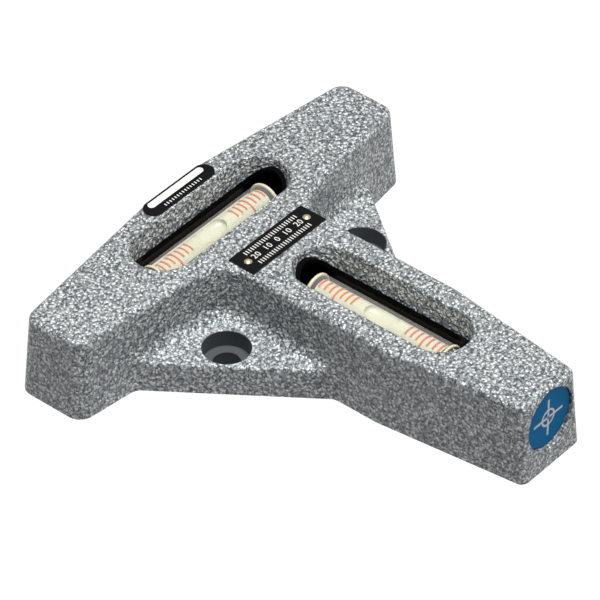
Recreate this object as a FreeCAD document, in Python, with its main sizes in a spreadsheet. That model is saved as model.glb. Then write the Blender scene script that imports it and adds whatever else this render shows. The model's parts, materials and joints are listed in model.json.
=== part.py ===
"""Fixed T-shaped cross spirit level: one cast-iron body with two crossed vials."""
import FreeCAD, Part
import math
import os
import Sketcher

doc = FreeCAD.newDocument("cross_level")

# ---------------------------------------------------------------- driving sizes
# Frame: X along the crossbar, Y along the stem (the stem points to -Y), Z up.
# The origin is on the measuring face, under the crossing of the two centre lines.
SIZES = (
    # casting, widths and lengths at the base
    ("height", 27.0), ("draft", 3.5),
    ("bar_length", 144.1), ("bar_shift", -1.4), ("bar_mid_width", 38.4),
    ("bar_end_width", 23.6), ("bar_flat", 25.0),
    ("stem_width", 37.6), ("stem_end_width", 25.8), ("stem_reach", 124.5),
    ("gusset_height", 10.0), ("gusset_on_bar", 63.1), ("gusset_on_stem", 86.2), ("stem_bend_gap", 6.0),
    ("bar_corner_round", 5.0), ("stem_corner_round", 2.5), ("root_round", 10.0), ("gusset_round", 4.5),
    ("top_round", 2.0), ("gusset_rim_round", 1.2),
    # windows over the vials
    ("window_length", 61.6), ("window_width", 19.4), ("window_draft", 15.0), ("window_rim_round", 0.8),
    ("bar_window_shift", -2.8), ("stem_window_place", 62.2),
    # bores that hold the vial tubes
    ("bore_drop", 10.9), ("bore_width", 17.0), ("recess_width", 20.0), ("recess_depth", 5.0),
    # holes for the fixing screws
    ("hole_spacing", 60.7), ("hole_setback", 29.7), ("hole_width", 8.4),
    ("counterbore_width", 14.4), ("counterbore_depth", 5.5),
    # vial, its spirit and the plaster bed under it
    ("vial_width", 11.0), ("vial_length", 49.6), ("vial_wall", 1.1), ("vial_end_wall", 2.0),
    ("barrel_rise", 0.1),
    ("bubble_length", 13.0), ("bubble_width", 6.6), ("bubble_depth", 3.6), ("bubble_sink", 0.9),
    ("bed_drop", 1.5),
    # slotted tube round the vial, its caps and the grub screws that hold it
    ("tube_length", 72.0), ("tube_wall", 1.2), ("slot_length", 57.0), ("slot_width", 13.6),
    ("cap_thickness", 3.0), ("set_screw_width", 4.0), ("set_screw_length", 6.0), ("set_screw_inset", 3.6),
    ("socket_width", 2.0), ("socket_depth", 2.0),
    # plugs in the bores' mouths and the disc on the stem's plug
    ("plug_clearance", 0.2), ("plug_head", 2.7), ("plug_shank", 9.0), ("plug_inset", 2.0),
    ("disc_thickness", 0.3), ("disc_margin", 0.2),
    # plates on the top face
    ("plate_thickness", 0.5), ("plate_length", 32.1), ("plate_width", 9.6), ("plate_setback", 23.1),
    ("rivet_spacing", 26.0), ("rivet_head", 2.4), ("rivet_rise", 0.5), ("rivet_shank", 1.4),
    ("rivet_depth", 4.0),
    ("badge_length", 28.6), ("badge_width", 6.4), ("badge_setback", 13.4), ("badge_shift", -1.4),
    # how far a cutting solid runs past what it cuts
    ("overrun", 1.0),
)
sheet = doc.addObject("Spreadsheet::Sheet", "sizes")
for row, (alias, value) in enumerate(SIZES, start=1):
    sheet.set("A%d" % row, alias)
    sheet.set("B%d" % row, str(value))
    sheet.setAlias("B%d" % row, alias)
doc.recompute()
value_of = {alias: getattr(sheet, alias) for alias, _ in SIZES}
nodes = []
CLOSE = 0.01
ROUGH_SIZE = 10.0


# ---------------------------------------------------------------- small helpers
def cell(text):
    """Write every size's name in a formula as a reference to its cell."""
    words = []
    for word in text.split():
        words.append("sizes." + word if word in value_of else word)
    return " ".join(words)


def bind(thing, **formulas):
    """Tie properties of a thing to formulas."""
    for name, text in formulas.items():
        thing.setExpression(name, cell(text))
    return thing


def place(thing, x="0", y="0", z="0", axis=None, angle=0.0):
    """Put a primitive at a formula's place, turned about an axis by a fixed angle."""
    if axis is not None:
        thing.Placement = FreeCAD.Placement(FreeCAD.Vector(), FreeCAD.Rotation(FreeCAD.Vector(*axis), angle))
    for letter, text in (("x", x), ("y", y), ("z", z)):
        thing.setExpression(".Placement.Base." + letter, cell(text))
    return thing


def keep(thing, label):
    """Name a finished piece and list it as a node."""
    thing.Label = label
    nodes.append(thing)
    return thing


def near(a, b):
    return abs(a - b) < CLOSE


def origin_plane(body, role):
    return [item for item in body.Origin.OriginFeatures if item.Role == role][0]


def outline(body, name, corners):
    """Draw a closed outline with straight sides on the base, each corner tied to two formulas."""
    sketch = body.newObject("Sketcher::SketchObject", name)
    sketch.AttachmentSupport = (origin_plane(body, "XY_Plane"), "")
    sketch.MapMode = "FlatFace"
    count = len(corners)
    turn = 2 * math.pi / count
    rough = [FreeCAD.Vector(math.cos(i * turn), math.sin(i * turn), 0) * ROUGH_SIZE for i in range(count)]
    for i in range(count):
        sketch.addGeometry(Part.LineSegment(rough[i], rough[(i + 1) % count]), False)
    for i in range(count):
        sketch.addConstraint(Sketcher.Constraint("Coincident", i, 2, (i + 1) % count, 1))
    for i, formulas in enumerate(corners):
        for kind, axis, text, rough_value in zip(("DistanceX", "DistanceY"), (-2, -1), formulas, rough[i]):
            if text == "0":
                sketch.addConstraint(Sketcher.Constraint("PointOnObject", i, 1, axis))
                continue
            tie(sketch, "%s_%d" % (kind, i), text, Sketcher.Constraint(kind, i, 1, rough_value))
    return sketch


def tie(sketch, label, text, constraint):
    """Add a named constraint whose value follows a formula."""
    index = sketch.addConstraint(constraint)
    sketch.renameConstraint(index, label)
    sketch.setExpression("Constraints." + label, cell(text))


def pad(body, name, corners, length):
    """Raise an outline straight up from the base."""
    sketch = outline(body, name + "_outline", corners)
    block = body.newObject("PartDesign::Pad", name)
    block.Profile = sketch
    return bind(block, Length=length)


def lean_walls(body, name, angle):
    """Lean every upright wall of the body's last feature inwards, hinged at the base."""
    doc.recompute()
    base = body.Tip
    faces = enumerate(base.Shape.Faces, start=1)
    walls = ["Face%d" % i for i, face in faces if near(face.normalAt(0, 0).z, 0)]
    drafted = body.newObject("PartDesign::Draft", name)
    drafted.Base = (base, walls)
    drafted.NeutralPlane = (origin_plane(body, "XY_Plane"), [""])
    return bind(drafted, Angle=angle)


def edges_where(shape, test):
    """Name the edges whose bounding boxes pass a test."""
    return ["Edge%d" % i for i, edge in enumerate(shape.Edges, start=1) if test(edge.BoundBox)]


def fillet(body, name, radius, test):
    """Round the edges of the body's last feature that pass a test."""
    doc.recompute()
    base = body.Tip
    rounded = body.newObject("PartDesign::Fillet", name)
    rounded.Base = (base, edges_where(base.Shape, test))
    return bind(rounded, Radius=radius)


# ---------------------------------------------------------------- the casting
height = value_of["height"]
floor = value_of["gusset_height"]
body = doc.addObject("PartDesign::Body", "body")
LEFT = "bar_shift - bar_length / 2"
RIGHT = "bar_shift + bar_length / 2"
BEND = "0 - gusset_on_stem + stem_bend_gap + gusset_round"
pad(body, "bar", (
    ("bar_flat / 2", "bar_mid_width / 2"), ("0 - bar_flat / 2", "bar_mid_width / 2"),
    (LEFT, "bar_end_width / 2"), (LEFT, "0 - bar_end_width / 2"),
    ("0 - bar_flat / 2", "0 - bar_mid_width / 2"), ("bar_flat / 2", "0 - bar_mid_width / 2"),
    (RIGHT, "0 - bar_end_width / 2"), (RIGHT, "bar_end_width / 2")), "height")
pad(body, "stem", (
    ("stem_width / 2", "0"), ("0 - stem_width / 2", "0"), ("0 - stem_width / 2", BEND),
    ("0 - stem_end_width / 2", "0 - stem_reach"), ("stem_end_width / 2", "0 - stem_reach"),
    ("stem_width / 2", BEND)), "height")
pad(body, "gussets", (
    ("gusset_on_bar", "0"), ("0 - gusset_on_bar", "0"), ("0", "0 - gusset_on_stem")), "gusset_height")
lean_walls(body, "walls", "draft")


def upright(box):
    """An edge that climbs a wall."""
    return box.ZLength > floor / 2 and box.XLength < floor / 2 and box.YLength < floor / 2


def at_bar_end(box):
    reach = value_of["bar_length"] / 2 - floor
    return upright(box) and abs(box.Center.x - value_of["bar_shift"]) > reach


def at_stem_end(box):
    return upright(box) and box.Center.y < floor - value_of["stem_reach"]


def on_floor(box):
    return near(box.ZMin, floor) and near(box.ZMax, floor)


def slanted(box):
    """The long outer edge of a gusset."""
    return box.XLength > floor and box.YLength > 2 * floor


def at_root(box):
    """The inner corner between bar and stem, above a gusset."""
    return upright(box) and near(box.ZMin, floor) and box.YMin > -value_of["bar_mid_width"]


def at_gusset_wall(box):
    """Where a gusset meets the walls, along its top and down its two ends."""
    return (on_floor(box) and not slanted(box)) or (upright(box) and near(box.ZMax, floor))


def at_gusset_rim(box):
    return on_floor(box) and slanted(box)


def on_top(box):
    return near(box.ZMin, height)


def at_window_rim(box):
    """The edges that two windows make in the top face."""
    far, side = value_of["window_length"] / 2 + CLOSE, value_of["window_width"] / 2 + CLOSE
    bar_off = box.Center.x - value_of["bar_window_shift"]
    stem_off = box.Center.y + value_of["stem_window_place"]
    in_bar = abs(bar_off) < far and abs(box.Center.y) < side
    in_stem = abs(stem_off) < far and abs(box.Center.x) < side
    return on_top(box) and (in_bar or in_stem)


fillet(body, "bar_end_corners", "bar_corner_round", at_bar_end)
fillet(body, "stem_end_corners", "stem_corner_round", at_stem_end)
fillet(body, "roots", "root_round", at_root)
fillet(body, "gusset_blends", "gusset_round", at_gusset_wall)
fillet(body, "gusset_rims", "gusset_rim_round", at_gusset_rim)
fillet(body, "top_edges", "top_round", on_top)


def stadium_pocket(body, name, middle, along, depth, lean):
    """Cut a window with round ends from the top face down, its walls leaning inwards."""
    length, width = value_of["window_length"], value_of["window_width"]
    reach, radius = (length - width) / 2, width / 2
    sketch = body.newObject("Sketcher::SketchObject", name + "_outline")
    sketch.AttachmentSupport = (origin_plane(body, "XY_Plane"), "")
    sketch.MapMode = "FlatFace"
    sketch.setExpression(".AttachmentOffset.Base.z", cell("height"))
    start = 0.0 if along == "x" else math.pi / 2
    far_kind, side_line = ("DistanceX", -1) if along == "x" else ("DistanceY", -2)

    def point(far, side):
        return FreeCAD.Vector(far, side, 0) if along == "x" else FreeCAD.Vector(-side, far, 0)

    def round_end(centre, turn):
        circle = Part.Circle(centre, FreeCAD.Vector(0, 0, 1), radius)
        return Part.ArcOfCircle(circle, turn - math.pi / 2, turn + math.pi / 2)

    sketch.addGeometry(round_end(point(reach, 0), start), False)
    sketch.addGeometry(Part.LineSegment(point(reach, radius), point(-reach, radius)), False)
    sketch.addGeometry(round_end(point(-reach, 0), start + math.pi), False)
    sketch.addGeometry(Part.LineSegment(point(-reach, -radius), point(reach, -radius)), False)
    for first, second in ((0, 1), (1, 2), (2, 3), (3, 0)):
        sketch.addConstraint(Sketcher.Constraint("Tangent", first, 2, second, 1))
    sketch.addConstraint(Sketcher.Constraint("Equal", 0, 2))
    tie(sketch, "round_end", "window_width / 2", Sketcher.Constraint("Radius", 0, radius))
    for arc, sign, value in ((0, "+", reach), (2, "-", -reach)):
        sketch.addConstraint(Sketcher.Constraint("PointOnObject", arc, 3, side_line))
        formula = "%s %s ( window_length - window_width ) / 2" % (middle, sign)
        tie(sketch, "middle_%d" % arc, formula, Sketcher.Constraint(far_kind, arc, 3, value))
    pocket = body.newObject("PartDesign::Pocket", name)
    pocket.Profile = sketch
    return bind(pocket, Length=depth, TaperAngle=lean)


def drill(body, name, radius, depth, x="0", y="0", z="0", axis=None, angle=0.0):
    """Cut a round hole that starts at a formula's place."""
    hole = body.newObject("PartDesign::SubtractiveCylinder", name)
    bind(hole, Radius=radius, Height=depth)
    return place(hole, x, y, z, axis, angle)


TO_PLUS_X = ((0, 1, 0), 90)
TO_MINUS_Y = ((1, 0, 0), 90)
AXIS_Z = "height - bore_drop"
BELOW = "0 - overrun"
stadium_pocket(body, "bar_window", "bar_window_shift", "x", "bore_drop", "0 - window_draft")
stadium_pocket(body, "stem_window", "0 - stem_window_place", "y", "bore_drop", "0 - window_draft")
fillet(body, "window_rims", "window_rim_round", at_window_rim)
drill(body, "bar_bore", "bore_width / 2", RIGHT + " - bar_window_shift + tube_length / 2 + overrun",
      "bar_window_shift - tube_length / 2", "0", AXIS_Z, *TO_PLUS_X)
drill(body, "stem_bore", "bore_width / 2", "stem_reach - stem_window_place + tube_length / 2 + overrun",
      "0", "tube_length / 2 - stem_window_place", AXIS_Z, *TO_MINUS_Y)
drill(body, "stem_recess", "recess_width / 2", "recess_depth + overrun", "0", "recess_depth - stem_reach",
      AXIS_Z, *TO_MINUS_Y)
for hand, side in (("left", -1), ("right", 1)):
    across = "%d * hole_spacing / 2" % side
    drill(body, hand + "_screw_hole", "hole_width / 2", "gusset_height + 2 * overrun", across,
          "0 - hole_setback", BELOW)
    drill(body, hand + "_counterbore", "counterbore_width / 2", "counterbore_depth + gusset_round", across,
          "0 - hole_setback", "gusset_height - counterbore_depth")
    drill(body, hand + "_rivet_hole", "rivet_shank / 2", "rivet_depth + overrun",
          "%d * rivet_spacing / 2" % side, "0 - plate_setback", "height - rivet_depth")
    along = "%d * ( tube_length / 2 - set_screw_inset )" % side
    drill(body, hand + "_bar_screw_hole", "set_screw_width / 2", AXIS_Z + " + overrun",
          "bar_window_shift + " + along, "0", BELOW)
    drill(body, hand + "_stem_screw_hole", "set_screw_width / 2", AXIS_Z + " + overrun", "0",
          along + " - stem_window_place", BELOW)
keep(body, "body")


# ---------------------------------------------------------------- plain solids
def rod(name, radius, length, x="0", y="0", z="0", axis=None, angle=0.0):
    """A cylinder; without an axis it stands on its place."""
    solid = bind(doc.addObject("Part::Cylinder", name), Radius=radius, Height=length)
    return place(solid, x, y, z, axis, angle)


def block(name, length, width, depth, x="0", y="0", z="0"):
    """A box centred on its place in X and Y, standing on it in Z."""
    solid = bind(doc.addObject("Part::Box", name), Length=length, Width=width, Height=depth)
    return place(solid, "%s - ( %s ) / 2" % (x, length), "%s - ( %s ) / 2" % (y, width), z)


def cut(name, base, tool):
    result = doc.addObject("Part::Cut", name)
    result.Base, result.Tool = base, tool
    return result


def common(name, base, tool):
    result = doc.addObject("Part::Common", name)
    result.Base, result.Tool = base, tool
    return result


def join(name, *pieces):
    result = doc.addObject("Part::MultiFuse", name)
    result.Shapes = list(pieces)
    return result


def group(name, *pieces):
    """Identical pieces that stay apart, kept as one node."""
    result = doc.addObject("Part::Compound", name)
    result.Links = list(pieces)
    return result


def stadium(name, length, width, depth, x="0", y="0", z="0"):
    """A plate with round ends, centred on its place in X and Y."""
    middle = block(name + "_middle", "%s - %s" % (length, width), width, depth, x, y, z)
    ends = []
    for side in (-1, 1):
        end_x = "%s + %d * ( %s - %s ) / 2" % (x, side, length, width)
        ends.append(rod("%s_end_%d" % (name, side + 1), width + " / 2", depth, end_x, y, z))
    return join(name, middle, *ends)


# ---------------------------------------------------------------- one vial in its tube
def vial_set(arm, seat):
    """The vial, its spirit, its bed, its slotted tube, the caps and the set screws.

    Each piece is drawn along X about the bore's axis, then seated in its arm of the casting."""
    def lying(name, radius, length, x="0"):
        return rod(arm + name, radius, length, "%s - ( %s ) / 2" % (x, length), "0", "0", *TO_PLUS_X)

    def seated(thing, label):
        return keep(place(thing, *seat), "%s_%s" % (arm, label))

    # the inside of the glass is ground to a faint barrel, so that the bubble seeks the middle
    halves = []
    for side in (-1, 1):
        half = doc.addObject("Part::Cone", "%s_hollow_%d" % (arm, side + 1))
        bind(half, Radius1="vial_width / 2 - vial_wall", Radius2="vial_width / 2 - vial_wall - barrel_rise",
             Height="vial_length / 2 - vial_end_wall")
        halves.append(place(half, "0", "0", "0", (0, 1, 0), side * 90))
    hollow = join(arm + "_hollow", *halves)
    glass = cut(arm + "_glass", lying("_glass_outside", "vial_width / 2", "vial_length"), hollow)
    seated(glass, "vial_glass")
    bubble = doc.addObject("Part::Ellipsoid", arm + "_bubble")
    bind(bubble, Radius1="bubble_depth / 2", Radius2="bubble_length / 2", Radius3="bubble_width / 2")
    place(bubble, "0", "0", "vial_width / 2 - vial_wall - bubble_sink")
    seated(cut(arm + "_spirit", hollow, bubble), "vial_spirit")

    # the plaster bed fills the tube under the vial
    under = cut(arm + "_under", lying("_bed_round", "bore_width / 2 - tube_wall", "vial_length"),
                lying("_bed_hollow", "vial_width / 2", "vial_length + 2 * overrun"))
    above = block(arm + "_above", "vial_length + 2 * overrun", "bore_width", "bore_width", "0", "0",
                  "0 - bed_drop")
    seated(cut(arm + "_bed", under, above), "vial_bed")

    # the tube fits the bore, and its slot lies under the window
    shell = cut(arm + "_shell", lying("_tube_outside", "bore_width / 2", "tube_length"),
                lying("_tube_inside", "bore_width / 2 - tube_wall", "tube_length + 2 * overrun"))
    slot = stadium(arm + "_slot", "slot_length", "slot_width", "bore_width")
    seated(cut(arm + "_tube", shell, slot), "vial_tube")
    caps = [lying("_cap_%d" % (side + 1), "bore_width / 2 - tube_wall", "cap_thickness",
                  "%d * ( tube_length - cap_thickness ) / 2" % side) for side in (-1, 1)]
    seated(group(arm + "_caps", *caps), "tube_caps")

    # grub screws from the base hold the tube up against the bore
    screws = []
    for side in (-1, 1):
        name = "%s_screw_%d" % (arm, side + 1)
        far = "%d * ( tube_length / 2 - set_screw_inset )" % side
        low = "0 - bore_width / 2 - set_screw_length"
        socket = bind(doc.addObject("Part::Prism", name + "_socket"),
                      Circumradius="socket_width / 2 / cos(30deg)", Height="socket_depth")
        place(socket, far, "0", low)
        screw = rod(name + "_rod", "set_screw_width / 2", "set_screw_length", far, "0", low)
        screws.append(cut(name, screw, socket))
    seated(group(arm + "_screws", *screws), "set_screws")


vial_set("bar", ("bar_window_shift", "0", AXIS_Z))
vial_set("stem", ("0", "0 - stem_window_place", AXIS_Z, (0, 0, 1), -90))

# ---------------------------------------------------------------- plugs and the end disc
bar_plug_end = RIGHT + " - plug_inset"
keep(rod("bar_plug", "bore_width / 2", "plug_shank", bar_plug_end + " - plug_shank", "0", AXIS_Z, *TO_PLUS_X),
     "bar_end_plug")
head_face = "recess_depth - stem_reach - plug_head"
head = rod("plug_head_disc", "recess_width / 2 - plug_clearance", "plug_head", "0",
           "recess_depth - stem_reach", AXIS_Z, *TO_MINUS_Y)
shank = rod("plug_shank_rod", "bore_width / 2", "plug_shank", "0",
            "recess_depth - stem_reach + plug_shank", AXIS_Z, *TO_MINUS_Y)
keep(join("stem_plug", head, shank), "stem_end_plug")
keep(rod("disc", "recess_width / 2 - plug_clearance - disc_margin", "disc_thickness", "0", head_face, AXIS_Z,
         *TO_MINUS_Y), "end_disc")

# ---------------------------------------------------------------- plates on the top face
keep(stadium("badge", "badge_length", "badge_width", "plate_thickness", "badge_shift", "badge_setback",
             "height"), "badge_plate")
plate = block("plate", "plate_length", "plate_width", "plate_thickness", "0", "0 - plate_setback", "height")
rivets = []
rivet_holes = []
cap_radius = "( ( rivet_head / 2 ) ^ 2 + rivet_rise ^ 2 ) / ( 2 * rivet_rise )"
for side in (-1, 1):
    name = "rivet_%d" % (side + 1)
    spot = ("%d * rivet_spacing / 2" % side, "0 - plate_setback")
    pin = rod(name + "_shank", "rivet_shank / 2", "rivet_depth + plate_thickness", *spot,
              "height - rivet_depth")
    ball = bind(doc.addObject("Part::Sphere", name + "_ball"), Radius=cap_radius)
    place(ball, *spot, "height + plate_thickness + rivet_rise - " + cap_radius)
    dome = common(name + "_dome", ball, rod(name + "_rim", "rivet_head / 2", "rivet_rise", *spot,
                                            "height + plate_thickness"))
    rivets.append(join(name, pin, dome))
    rivet_holes.append(rod(name + "_hole", "rivet_shank / 2", "plate_thickness + 2 * overrun", *spot,
                           "height - overrun"))
keep(cut("plate_drilled", plate, group("plate_holes", *rivet_holes)), "data_plate")
keep(group("rivets", *rivets), "plate_rivets")

# ---------------------------------------------------------------- check and write
doc.recompute()
failed = [item.Name for item in doc.Objects if "Invalid" in item.State or "Error" in item.State]
if failed:
    raise RuntimeError("failed objects: " + ", ".join(failed))
os.makedirs("parts", exist_ok=True)
for node in nodes:
    if node.Shape.isNull() or not node.Shape.isValid():
        raise RuntimeError("bad shape: " + node.Label)
    node.Shape.exportStep("parts/%s.step" % node.Label)
    box = node.Shape.BoundBox
    print("%-16s %9.1f mm3  %6.1f %6.1f %6.1f  %6.1f %6.1f %6.1f" % (
        node.Label, node.Shape.Volume, box.XMin, box.YMin, box.ZMin, box.XMax, box.YMax, box.ZMax))
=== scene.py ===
import json
import math
import bmesh
import bpy
from mathutils import Matrix, Vector


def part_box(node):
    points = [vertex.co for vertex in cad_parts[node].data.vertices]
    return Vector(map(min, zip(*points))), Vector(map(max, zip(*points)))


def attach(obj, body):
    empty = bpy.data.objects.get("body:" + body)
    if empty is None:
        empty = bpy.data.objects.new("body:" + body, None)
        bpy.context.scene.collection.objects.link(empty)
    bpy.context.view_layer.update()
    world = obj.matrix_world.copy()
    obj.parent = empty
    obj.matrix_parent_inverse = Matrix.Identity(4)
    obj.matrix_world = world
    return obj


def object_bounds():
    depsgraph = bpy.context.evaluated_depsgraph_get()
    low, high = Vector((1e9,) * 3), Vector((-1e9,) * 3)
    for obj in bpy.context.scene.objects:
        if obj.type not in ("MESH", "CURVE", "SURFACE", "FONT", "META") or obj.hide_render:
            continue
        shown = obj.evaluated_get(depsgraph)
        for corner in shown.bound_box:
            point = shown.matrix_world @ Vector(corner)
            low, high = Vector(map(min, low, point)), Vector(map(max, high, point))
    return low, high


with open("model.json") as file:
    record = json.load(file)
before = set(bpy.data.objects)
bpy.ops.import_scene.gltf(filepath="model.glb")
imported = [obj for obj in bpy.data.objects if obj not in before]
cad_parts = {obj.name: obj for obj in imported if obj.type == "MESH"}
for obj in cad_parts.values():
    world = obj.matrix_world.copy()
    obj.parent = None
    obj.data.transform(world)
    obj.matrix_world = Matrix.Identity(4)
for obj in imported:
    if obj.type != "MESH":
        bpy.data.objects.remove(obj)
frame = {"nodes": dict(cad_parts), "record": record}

cad_low, cad_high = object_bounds()
nodes = frame["nodes"]
MM = 0.001
mounts = {mount["name"]: mount for mount in frame["record"]["mounts"]}
hole_reach = mounts["screw_holes"]["dims"]["spacing_x_mm"] / 2 * MM
hole_row = mounts["screw_holes"]["pos_m"][1]
counterbore_radius = 7.35 * MM


# ------------------------------------------------------------------ shader maths
class Signal:
    """A number from a node, so that a sum of signals writes its own Math nodes."""

    def __init__(self, finish, socket):
        self.finish = finish
        self.socket = socket

    def __add__(self, other):
        return self.finish.maths("ADD", self, other)

    def __sub__(self, other):
        return self.finish.maths("SUBTRACT", self, other)

    def __rsub__(self, other):
        return self.finish.maths("SUBTRACT", other, self)

    def __mul__(self, other):
        return self.finish.maths("MULTIPLY", self, other)

    def __lt__(self, other):
        return self.finish.maths("LESS_THAN", self, other)

    def __abs__(self):
        return self.finish.maths("ABSOLUTE", self)

    def clamp(self):
        return self.finish.maths("MINIMUM", self.finish.maths("MAXIMUM", self, 0.0), 1.0)

    def step(self, low, high):
        """Rise smoothly from 0 at low to 1 at high."""
        return self.finish.node("ShaderNodeMapRange", {"Value": self, "From Min": low, "From Max": high},
                                interpolation_type="SMOOTHSTEP")


class Finish:
    """A material built from nodes."""

    def __init__(self, name, **surface):
        self.material = bpy.data.materials.new(name)
        self.material.use_nodes = True
        self.tree = self.material.node_tree
        self.shader = self.tree.nodes["Principled BSDF"]
        self.place = self.node("ShaderNodeTexCoord", {}, "Object")
        self.set(**surface)

    def wire(self, value, socket):
        if isinstance(value, Signal):
            self.tree.links.new(value.socket, socket)
        else:
            socket.default_value = value

    def node(self, kind, inputs, outlet=0, **settings):
        """Add a node: its settings first, then the values or links of its sockets."""
        made = self.tree.nodes.new(kind)
        for name, value in settings.items():
            setattr(made, name, value)
        for name, value in inputs.items():
            self.wire(value, made.inputs[name])
        return Signal(self, made.outputs[outlet])

    def maths(self, operation, a, b=0.0):
        return self.node("ShaderNodeMath", {0: a, 1: b}, operation=operation)

    def mix(self, factor, a, b):
        """Blend two colours."""
        return self.node("ShaderNodeMix", {"Factor": factor, 6: a, 7: b}, 2, data_type="RGBA")

    def axis(self, letter):
        return self.node("ShaderNodeSeparateXYZ", {0: self.place}, letter)

    def noise(self, scale, detail=2.0, roughness=0.5, distortion=0.0):
        return self.node("ShaderNodeTexNoise", {"Vector": self.place, "Scale": scale, "Detail": detail,
                                                "Roughness": roughness, "Distortion": distortion})

    def bump(self, height, distance):
        relief = {"Height": height, "Distance": distance}
        self.set(Normal=self.node("ShaderNodeBump", relief))

    def set(self, **surface):
        for name, value in surface.items():
            self.wire(value, self.shader.inputs[name.replace("_", " ")])


def rgb(r, g, b):
    return (r, g, b, 1.0)


# ------------------------------------------------------------------ finishes
def near_a_hole(finish, reach):
    """1 within this reach of either screw hole's axis, else 0."""
    aside = abs(finish.axis("X")) - hole_reach
    along = finish.axis("Y") - hole_row
    return (aside * aside + along * along) < reach ** 2


def hammertone_paint():
    """Silver hammer finish: rounded cells about a millimetre wide, their crests coloured lighter and their
    valleys darker as painted highlight and painted shade over random tone; smooth and coloured dark inside
    the counterbores and screw holes as painted shade."""
    paint = Finish("silver_hammertone", Metallic=0.2)
    drift = paint.node("ShaderNodeTexNoise", {"Vector": paint.place, "Scale": 420.0, "Detail": 2.0}, "Color")
    bent = paint.node("ShaderNodeVectorMath", {0: drift, 1: (0.0016, 0.0016, 0.0016)}, operation="MULTIPLY")
    spot = paint.node("ShaderNodeVectorMath", {0: paint.place, 1: bent}, operation="ADD")
    grid = {"Vector": spot, "Scale": 880.0, "Smoothness": 0.35}
    cells = paint.node("ShaderNodeTexVoronoi", grid, "Distance", feature="SMOOTH_F1")
    crest = 1.0 - cells.step(0.05, 0.75)
    swirl = paint.noise(1150.0, 1.0, distortion=1.2)
    patch = paint.noise(45.0, 2.0)
    # tone: the crest part colours the cells' tops lighter and their valleys darker, a painted highlight and
    # painted shade; the swirl and patch parts are random tone
    tone = (crest.step(0.2, 0.8) * 0.6 + swirl.step(0.4, 0.6) * 0.4 + patch * 0.12 - 0.06).clamp()
    bored = near_a_hole(paint, counterbore_radius)
    painted = paint.mix(tone, rgb(0.085, 0.098, 0.106), rgb(0.80, 0.835, 0.83))
    # a flat dark grey inside the counterbores and screw holes: painted shade in these recesses
    bore_painted_shade = rgb(0.10, 0.11, 0.115)
    paint.set(Base_Color=paint.mix(bored, painted, bore_painted_shade), Roughness=0.4 - tone * 0.1)
    paint.bump((crest * 0.7 + swirl * 0.6) * (1.0 - bored), 0.00045)
    return paint.material


def plain(name, colour, roughness, metallic=0.0, grain=900.0, spread=0.12, **surface):
    """A smooth finish with slight wear in its tone and gloss."""
    finish = Finish(name, Metallic=metallic, **surface)
    wear = finish.noise(grain, 3.0)
    dark = rgb(*[part * (1.0 - spread) for part in colour])
    light = rgb(*[min(1.0, part * (1.0 + spread)) for part in colour])
    finish.set(Base_Color=finish.mix(wear, dark, light), Roughness=wear * 0.12 + (roughness - 0.06))
    return finish.material


hammertone = hammertone_paint()
gloss_black = plain("gloss_black_liner", (0.003, 0.003, 0.0035), 0.45, Specular_IOR_Level=0.02)
clear_glass = plain("vial_clear_glass", (0.95, 0.96, 0.93), 0.07, Alpha=0.14)
ivory_spirit = plain("vial_ivory_spirit", (0.66, 0.655, 0.46), 0.3, grain=120.0, spread=0.06)
plaster = plain("vial_plaster_bed", (0.82, 0.78, 0.62), 0.6)
dark_screw = plain("grub_screw_steel", (0.10, 0.10, 0.11), 0.4, 1.0)
turned_plug = plain("turned_plug", (0.30, 0.28, 0.24), 0.4, 0.8)
blue_enamel = plain("disc_blue", (0.005, 0.20, 0.48), 0.6, spread=0.2, Specular_IOR_Level=0.12)
black_enamel = plain("plate_black", (0.004, 0.004, 0.005), 0.4, Specular_IOR_Level=0.3)
pale_brass = plain("rivet_brass", (0.72, 0.64, 0.40), 0.35, 0.6)
cement = plain("seal_cement", (0.74, 0.68, 0.46), 0.45, grain=500.0)
red_ink = plain("division_red", (0.72, 0.12, 0.004), 0.5)
white_ink = plain("marking_white", (0.80, 0.80, 0.76), 0.5)
# the disc's white ink is lighter than the plates' white ink to make up for the shade on the end face: a
# painted light
disc_ink_painted_light = plain("disc_white_painted_light", (0.92, 0.94, 0.93), 0.6)

FINISHES = {"casting": hammertone, "vial_glass": clear_glass, "spirit": ivory_spirit, "plaster": plaster,
            "black_steel": gloss_black, "screw_steel": dark_screw, "plug": turned_plug,
            "blue_disc": blue_enamel, "black_plate": black_enamel, "brass": pale_brass}
for part in frame["record"]["subparts"]:
    node = nodes[part["node"]]
    for held in node.material_slots:
        held.material = FINISHES[part["material_slot"]]


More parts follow.
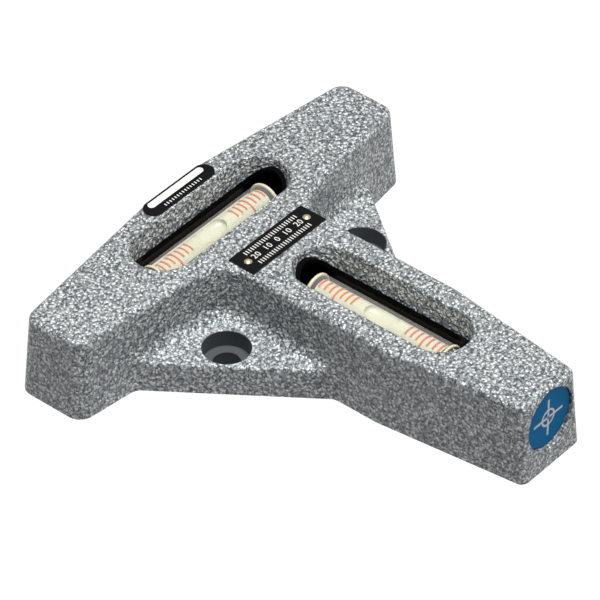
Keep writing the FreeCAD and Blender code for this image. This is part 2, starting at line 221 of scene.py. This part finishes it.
# ------------------------------------------------------------------ repeated marks
class Tree:
    """A Geometry Nodes tree with named inputs."""

    def __init__(self, name):
        self.group = bpy.data.node_groups.new(name, "GeometryNodeTree")
        self.group.interface.new_socket("Geometry", in_out="INPUT", socket_type="NodeSocketGeometry")
        self.group.interface.new_socket("Geometry", in_out="OUTPUT", socket_type="NodeSocketGeometry")
        self.entry = self.group.nodes.new("NodeGroupInput")
        self.values = {}

    def size(self, name, value, kind="NodeSocketFloat"):
        socket = self.group.interface.new_socket(name, in_out="INPUT", socket_type=kind)
        self.values[socket.identifier] = value
        return self.entry.outputs[name]

    def node(self, kind, inputs, outlet=0, **settings):
        made = self.group.nodes.new(kind)
        for name, value in settings.items():
            setattr(made, name, value)
        for name, value in inputs.items():
            if isinstance(value, bpy.types.NodeSocket):
                self.group.links.new(value, made.inputs[name])
            else:
                made.inputs[name].default_value = value
        return made.outputs[outlet]

    def join(self, *pieces):
        made = self.group.nodes.new("GeometryNodeJoinGeometry")
        for piece in pieces:
            self.group.links.new(piece, made.inputs[0])
        return made.outputs[0]

    def mesh(self, name, shape, material):
        """Realise the tree's shape as a plain mesh object."""
        solid = self.node("GeometryNodeRealizeInstances", {"Geometry": shape})
        painted = self.node("GeometryNodeSetMaterial", {"Geometry": solid, "Material": material})
        leave = self.group.nodes.new("NodeGroupOutput")
        self.group.links.new(painted, leave.inputs[0])
        carrier = bpy.data.objects.new(name + "_carrier", bpy.data.meshes.new(name + "_carrier"))
        bpy.context.scene.collection.objects.link(carrier)
        modifier = carrier.modifiers.new(name, "NODES")
        modifier.node_group = self.group
        for identifier, value in self.values.items():
            modifier[identifier] = value
        ready = carrier.evaluated_get(bpy.context.evaluated_depsgraph_get())
        mesh = bpy.data.meshes.new_from_object(ready)
        bpy.data.objects.remove(carrier)
        return add_piece(name, mesh, material)


def add_piece(name, mesh, material):
    mesh.name = name
    mesh.materials.clear()
    mesh.materials.append(material)
    piece = bpy.data.objects.new(name, mesh)
    bpy.context.scene.collection.objects.link(piece)
    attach(piece, "root")
    return piece


def division_lines(arm, seat):
    """Two sets of seven lines round the top of a vial, the middle line of each set longer.

    The lines lie inside the glass, just over the spirit, so they throw no second shadow on it.
    """
    tree = Tree(arm + "_divisions")
    radius = tree.size("Line radius", 4.53 * MM)
    pitch = tree.size("Pitch", 2.0 * MM)
    spread = tree.size("Set spacing", 32.0 * MM)
    section = tree.node("GeometryNodeCurvePrimitiveQuadrilateral", {"Width": 0.05 * MM, "Height": 0.6 * MM})

    def ring(half_angle):
        sweep = {"Radius": radius, "Start Angle": math.pi / 2 - half_angle, "Sweep Angle": 2 * half_angle,
                 "Resolution": 24}
        arc = tree.node("GeometryNodeCurveArc", sweep, mode="RADIUS")
        parts = {"Curve": arc, "Profile Curve": section, "Fill Caps": True}
        strip = tree.node("GeometryNodeCurveToMesh", parts)
        upright = tree.node("GeometryNodeTransform", {"Geometry": strip, "Rotation": (math.pi / 2, 0.0, 0.0)})
        return tree.node("GeometryNodeTransform", {"Geometry": upright, "Rotation": (0.0, 0.0, math.pi / 2)})

    def row(count, step, start):
        place = tree.node("ShaderNodeCombineXYZ", {"X": start})
        offset = tree.node("ShaderNodeCombineXYZ", {"X": step})
        return tree.node("GeometryNodeMeshLine", {"Count": count, "Start Location": place, "Offset": offset})

    first = tree.node("ShaderNodeMath", {0: pitch, 1: -3.0}, operation="MULTIPLY")
    points = row(7, pitch, first)
    index = tree.node("GeometryNodeInputIndex", {})
    middle = tree.node("FunctionNodeCompare", {2: index, 3: 3}, data_type="INT", operation="EQUAL")
    other = tree.node("FunctionNodeBooleanMath", {0: middle}, operation="NOT")
    short = tree.node("GeometryNodeInstanceOnPoints", {"Points": points, "Selection": other,
                                                       "Instance": ring(math.radians(26))})
    long = tree.node("GeometryNodeInstanceOnPoints", {"Points": points, "Selection": middle,
                                                      "Instance": ring(math.radians(50))})
    half = tree.node("ShaderNodeMath", {0: spread, 1: -0.5}, operation="MULTIPLY")
    sets = tree.node("GeometryNodeInstanceOnPoints", {"Points": row(2, spread, half),
                                                      "Instance": tree.join(short, long)})
    turned = tree.node("GeometryNodeTransform", {"Geometry": sets, "Translation": seat[0],
                                                 "Rotation": (0.0, 0.0, seat[1])})
    lines = tree.mesh(arm + "_division_lines", turned, red_ink)


def end_seals(arm, seat, length):
    """A rounded cream ring of cement round each end of a vial."""
    tree = Tree(arm + "_seals")
    radius = tree.size("Ring radius", 5.15 * MM)
    thick = tree.size("Cement radius", 0.5 * MM)
    span = tree.size("Ring spacing", length - 0.9 * MM)
    wide = {"Radius": radius, "Resolution": 64}
    round_section = {"Radius": thick, "Resolution": 12}
    circle = tree.node("GeometryNodeCurvePrimitiveCircle", wide, mode="RADIUS")
    section = tree.node("GeometryNodeCurvePrimitiveCircle", round_section, mode="RADIUS")
    ring = tree.node("GeometryNodeCurveToMesh", {"Curve": circle, "Profile Curve": section})
    upright = tree.node("GeometryNodeTransform", {"Geometry": ring, "Rotation": (0.0, math.pi / 2, 0.0)})
    half = tree.node("ShaderNodeMath", {0: span, 1: -0.5}, operation="MULTIPLY")
    start = tree.node("ShaderNodeCombineXYZ", {"X": half})
    step = tree.node("ShaderNodeCombineXYZ", {"X": span})
    ends = tree.node("GeometryNodeMeshLine", {"Count": 2, "Start Location": start, "Offset": step})
    both = tree.node("GeometryNodeInstanceOnPoints", {"Points": ends, "Instance": upright})
    turned = tree.node("GeometryNodeTransform", {"Geometry": both, "Translation": seat[0],
                                                 "Rotation": (0.0, 0.0, seat[1])})
    rings = tree.mesh(arm + "_end_seals", turned, cement)
    for face in rings.data.polygons:
        face.use_smooth = True


def middle_of(node):
    low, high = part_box(node)
    return (Vector(low) + Vector(high)) / 2


def tick_row(name, count, pitch, tick, centre):
    """A row of equal white ticks, printed on a plate along X."""
    tree = Tree(name)
    gap = tree.size("Pitch", pitch)
    wide = tree.size("Tick width", tick[0])
    tall = tree.size("Tick length", tick[1])
    size = tree.node("ShaderNodeCombineXYZ", {"X": wide, "Y": tall, "Z": 0.04 * MM})
    bar = tree.node("GeometryNodeMeshCube", {"Size": size})
    half = tree.node("ShaderNodeMath", {0: gap, 1: -0.5 * (count - 1)}, operation="MULTIPLY")
    start = tree.node("ShaderNodeCombineXYZ", {"X": half})
    step = tree.node("ShaderNodeCombineXYZ", {"X": gap})
    points = tree.node("GeometryNodeMeshLine", {"Count": count, "Start Location": start, "Offset": step})
    ticks = tree.node("GeometryNodeInstanceOnPoints", {"Points": points, "Instance": bar})
    moved = tree.node("GeometryNodeTransform", {"Geometry": ticks, "Translation": centre})
    tree.mesh(name, moved, white_ink)


def numerals(name, text, tall, centre):
    """Plain numerals printed on a plate, read from the stem's side."""
    curve = bpy.data.curves.new(name, "FONT")
    curve.body = text
    curve.size = tall
    curve.align_x = "CENTER"
    curve.align_y = "CENTER"
    curve.extrude = 0.02 * MM
    curve.space_character = 1.1
    carrier = bpy.data.objects.new(name + "_carrier", curve)
    bpy.context.scene.collection.objects.link(carrier)
    mesh = bpy.data.meshes.new_from_object(carrier.evaluated_get(bpy.context.evaluated_depsgraph_get()))
    bpy.data.objects.remove(carrier)
    mesh.transform(Matrix.Translation(centre))
    add_piece(name, mesh, white_ink)


def flat_shape(name, corners, thick, shift, material):
    """A thin printed shape raised from an outline in the XY plane, then moved into place."""
    mesh = bpy.data.meshes.new(name)
    form = bmesh.new()
    low_ring = [form.verts.new((x, y, 0.0)) for x, y in corners]
    face = form.faces.new(low_ring)
    raised = bmesh.ops.extrude_face_region(form, geom=[face])
    bmesh.ops.translate(form, verts=[v for v in raised["geom"] if isinstance(v, bmesh.types.BMVert)],
                        vec=(0.0, 0.0, thick))
    bmesh.ops.recalc_face_normals(form, faces=form.faces)
    form.to_mesh(mesh)
    form.free()
    mesh.transform(shift)
    add_piece(name, mesh, material)


def stadium_outline(length, width, steps=16):
    radius, reach = width / 2, (length - width) / 2
    turns = [math.pi * (i / steps - 0.5) for i in range(steps + 1)]
    right = [(reach + radius * math.cos(t), radius * math.sin(t)) for t in turns]
    left = [(-reach - radius * math.cos(t), -radius * math.sin(t)) for t in turns]
    return right + left


def ring_band(name, outer, inner, thick, shift, material, steps=72):
    """A flat printed ring."""
    mesh = bpy.data.meshes.new(name)
    form = bmesh.new()
    turns = [2 * math.pi * i / steps for i in range(steps)]
    rings = [[form.verts.new((r * math.cos(t), r * math.sin(t), z)) for t in turns]
             for r, z in ((outer, 0.0), (outer, thick), (inner, thick), (inner, 0.0))]
    for i in range(steps):
        j = (i + 1) % steps
        for k in range(4):
            here, there = rings[k], rings[(k + 1) % 4]
            form.faces.new((here[i], here[j], there[j], there[i]))
    bmesh.ops.recalc_face_normals(form, faces=form.faces)
    form.to_mesh(mesh)
    form.free()
    mesh.transform(shift)
    add_piece(name, mesh, material)


for arm, turn in (("bar", 0.0), ("stem", math.pi / 2)):
    glass_low, glass_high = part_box(arm + "_vial_glass")
    vial_length = max(glass_high[0] - glass_low[0], glass_high[1] - glass_low[1])
    seat = (middle_of(arm + "_vial_glass"), turn)
    division_lines(arm, seat)
    end_seals(arm, seat, vial_length)

# the data plate carries two rows of ticks and a row of plain numerals
plate_top = Vector((0.0, middle_of("data_plate").y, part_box("data_plate")[1][2] + 0.01 * MM))
plate_tick = (0.32 * MM, 1.5 * MM)
row_offset = Vector((0.0, 2.8 * MM, 0.0))
tick_row("plate_ticks_back", 23, 1.0 * MM, plate_tick, plate_top + row_offset)
tick_row("plate_ticks_front", 23, 1.0 * MM, plate_tick, plate_top - row_offset)
numerals("plate_numerals", "20  10  0  10  20", 2.9 * MM, plate_top)

# the badge is left bare apart from a plain white field and a row of ticks
badge = middle_of("badge_plate")
badge_top = Vector((badge.x, badge.y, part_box("badge_plate")[1][2]))
flat_shape("badge_field", stadium_outline(23.5 * MM, 2.4 * MM), 0.03 * MM,
           Matrix.Translation(badge_top + Vector((0.0, 1.3 * MM, 0.0))), white_ink)
badge_tick = (0.35 * MM, 1.0 * MM)
below_field = Vector((0.0, 1.6 * MM, 0.0))
tick_row("badge_ticks", 15, 1.1 * MM, badge_tick, badge_top - below_field)

# the disc carries a plain cross and a small ring
disc_low, disc_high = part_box("end_disc")
disc_face = Vector(((disc_low[0] + disc_high[0]) / 2, disc_low[1], (disc_low[2] + disc_high[2]) / 2))
on_disc = Matrix.Translation(disc_face) @ Matrix.Rotation(math.pi / 2, 4, "X")
ring_band("disc_ring", 3.0 * MM, 2.3 * MM, 0.04 * MM, on_disc, disc_ink_painted_light)
long_bar, thin_bar = 13.0 * MM, 0.8 * MM
for name, across, up in (("disc_cross_level", long_bar, thin_bar),
                         ("disc_cross_upright", thin_bar, long_bar)):
    right, top = across / 2, up / 2
    corners = [(-right, -top), (right, -top), (right, top), (-right, top)]
    flat_shape(name, corners, 0.05 * MM, on_disc, disc_ink_painted_light)


# ------------------------------------------------------------------ floor, lights and camera
def stage_floor():
    """A white floor that glows to the eye, except under the screw holes, where its glow is off as a painted
    shade seen through them.
    """
    mesh = bpy.data.meshes.new("floor")
    reach = 6.0
    drop = cad_low[2] - 0.1 * MM
    corners = [(x * reach, y * reach, drop) for x, y in ((-1, -1), (1, -1), (1, 1), (-1, 1))]
    mesh.from_pydata(corners, [], [(0, 1, 2, 3)])
    floor = bpy.data.objects.new("floor", mesh)
    bpy.context.scene.collection.objects.link(floor)
    look = Finish("floor_white", Base_Color=rgb(0.10, 0.10, 0.105), Roughness=0.9)
    seen = look.node("ShaderNodeLightPath", {}, "Is Camera Ray")
    mirrored = look.node("ShaderNodeLightPath", {}, "Is Glossy Ray")
    through = look.node("ShaderNodeLightPath", {}, "Is Transmission Ray")
    shown = look.maths("MINIMUM", seen + mirrored + through, 1.0)
    # no glow within the holes' reach: painted shade on the floor under the screw holes
    glow = look.node("ShaderNodeEmission", {"Color": rgb(1.0, 1.0, 1.0),
                                            "Strength": (1.0 - near_a_hole(look, counterbore_radius)) * 0.9})
    matt = Signal(look, look.shader.outputs[0])
    lit = look.node("ShaderNodeAddShader", {0: matt, 1: glow})
    both = look.node("ShaderNodeMixShader", {0: shown, 1: matt, 2: lit})
    look.wire(both, look.tree.nodes["Material Output"].inputs["Surface"])
    mesh.materials.append(look.material)


def lamp(name, size, power, place, aim):
    light = bpy.data.lights.new(name, "AREA")
    light.size = size
    light.energy = power
    held = bpy.data.objects.new(name, light)
    held.location = place
    held.rotation_euler = (Vector(place) - Vector(aim)).to_track_quat("Z", "Y").to_euler()
    bpy.context.scene.collection.objects.link(held)


def sky():
    world = bpy.data.worlds.new("studio")
    bpy.context.scene.world = world
    world.use_nodes = True
    tree = world.node_tree
    ground = tree.nodes["Background"]
    ground.inputs["Color"].default_value = rgb(1.0, 1.0, 1.0)
    path = tree.nodes.new("ShaderNodeLightPath")
    level = tree.nodes.new("ShaderNodeMapRange")
    level.inputs["To Min"].default_value = 0.08
    level.inputs["To Max"].default_value = 1.0
    straight = tree.nodes.new("ShaderNodeMath")
    straight.operation = "ADD"
    straight.use_clamp = True
    tree.links.new(path.outputs["Is Camera Ray"], straight.inputs[0])
    tree.links.new(path.outputs["Is Transmission Ray"], straight.inputs[1])
    tree.links.new(straight.outputs[0], level.inputs["Value"])
    tree.links.new(level.outputs[0], ground.inputs["Strength"])


def camera():
    lens = bpy.data.cameras.new("camera")
    lens.lens = 313.5
    lens.sensor_width = 36.0
    held = bpy.data.objects.new("camera", lens)
    aim = Vector((-0.0075, -0.0379, 0.0175))
    turn, rise, distance = math.radians(-49.85), math.radians(40.73), 1.5
    back = Vector((math.sin(turn) * math.cos(rise), -math.cos(turn) * math.cos(rise), math.sin(rise)))
    held.location = aim + back * distance
    held.rotation_euler = back.to_track_quat("Z", "Y").to_euler()
    bpy.context.scene.collection.objects.link(held)
    bpy.context.scene.camera = held


stage_floor()
centre = (0.0, -0.05, 0.02)
lamp("overhead", 0.5, 28.0, (-0.06, -0.16, 1.45), centre)
lamp("front", 0.3, 3.0, (0.25, -1.3, 0.45), centre)
sky()
camera()
bpy.context.scene.view_settings.view_transform = "Standard"
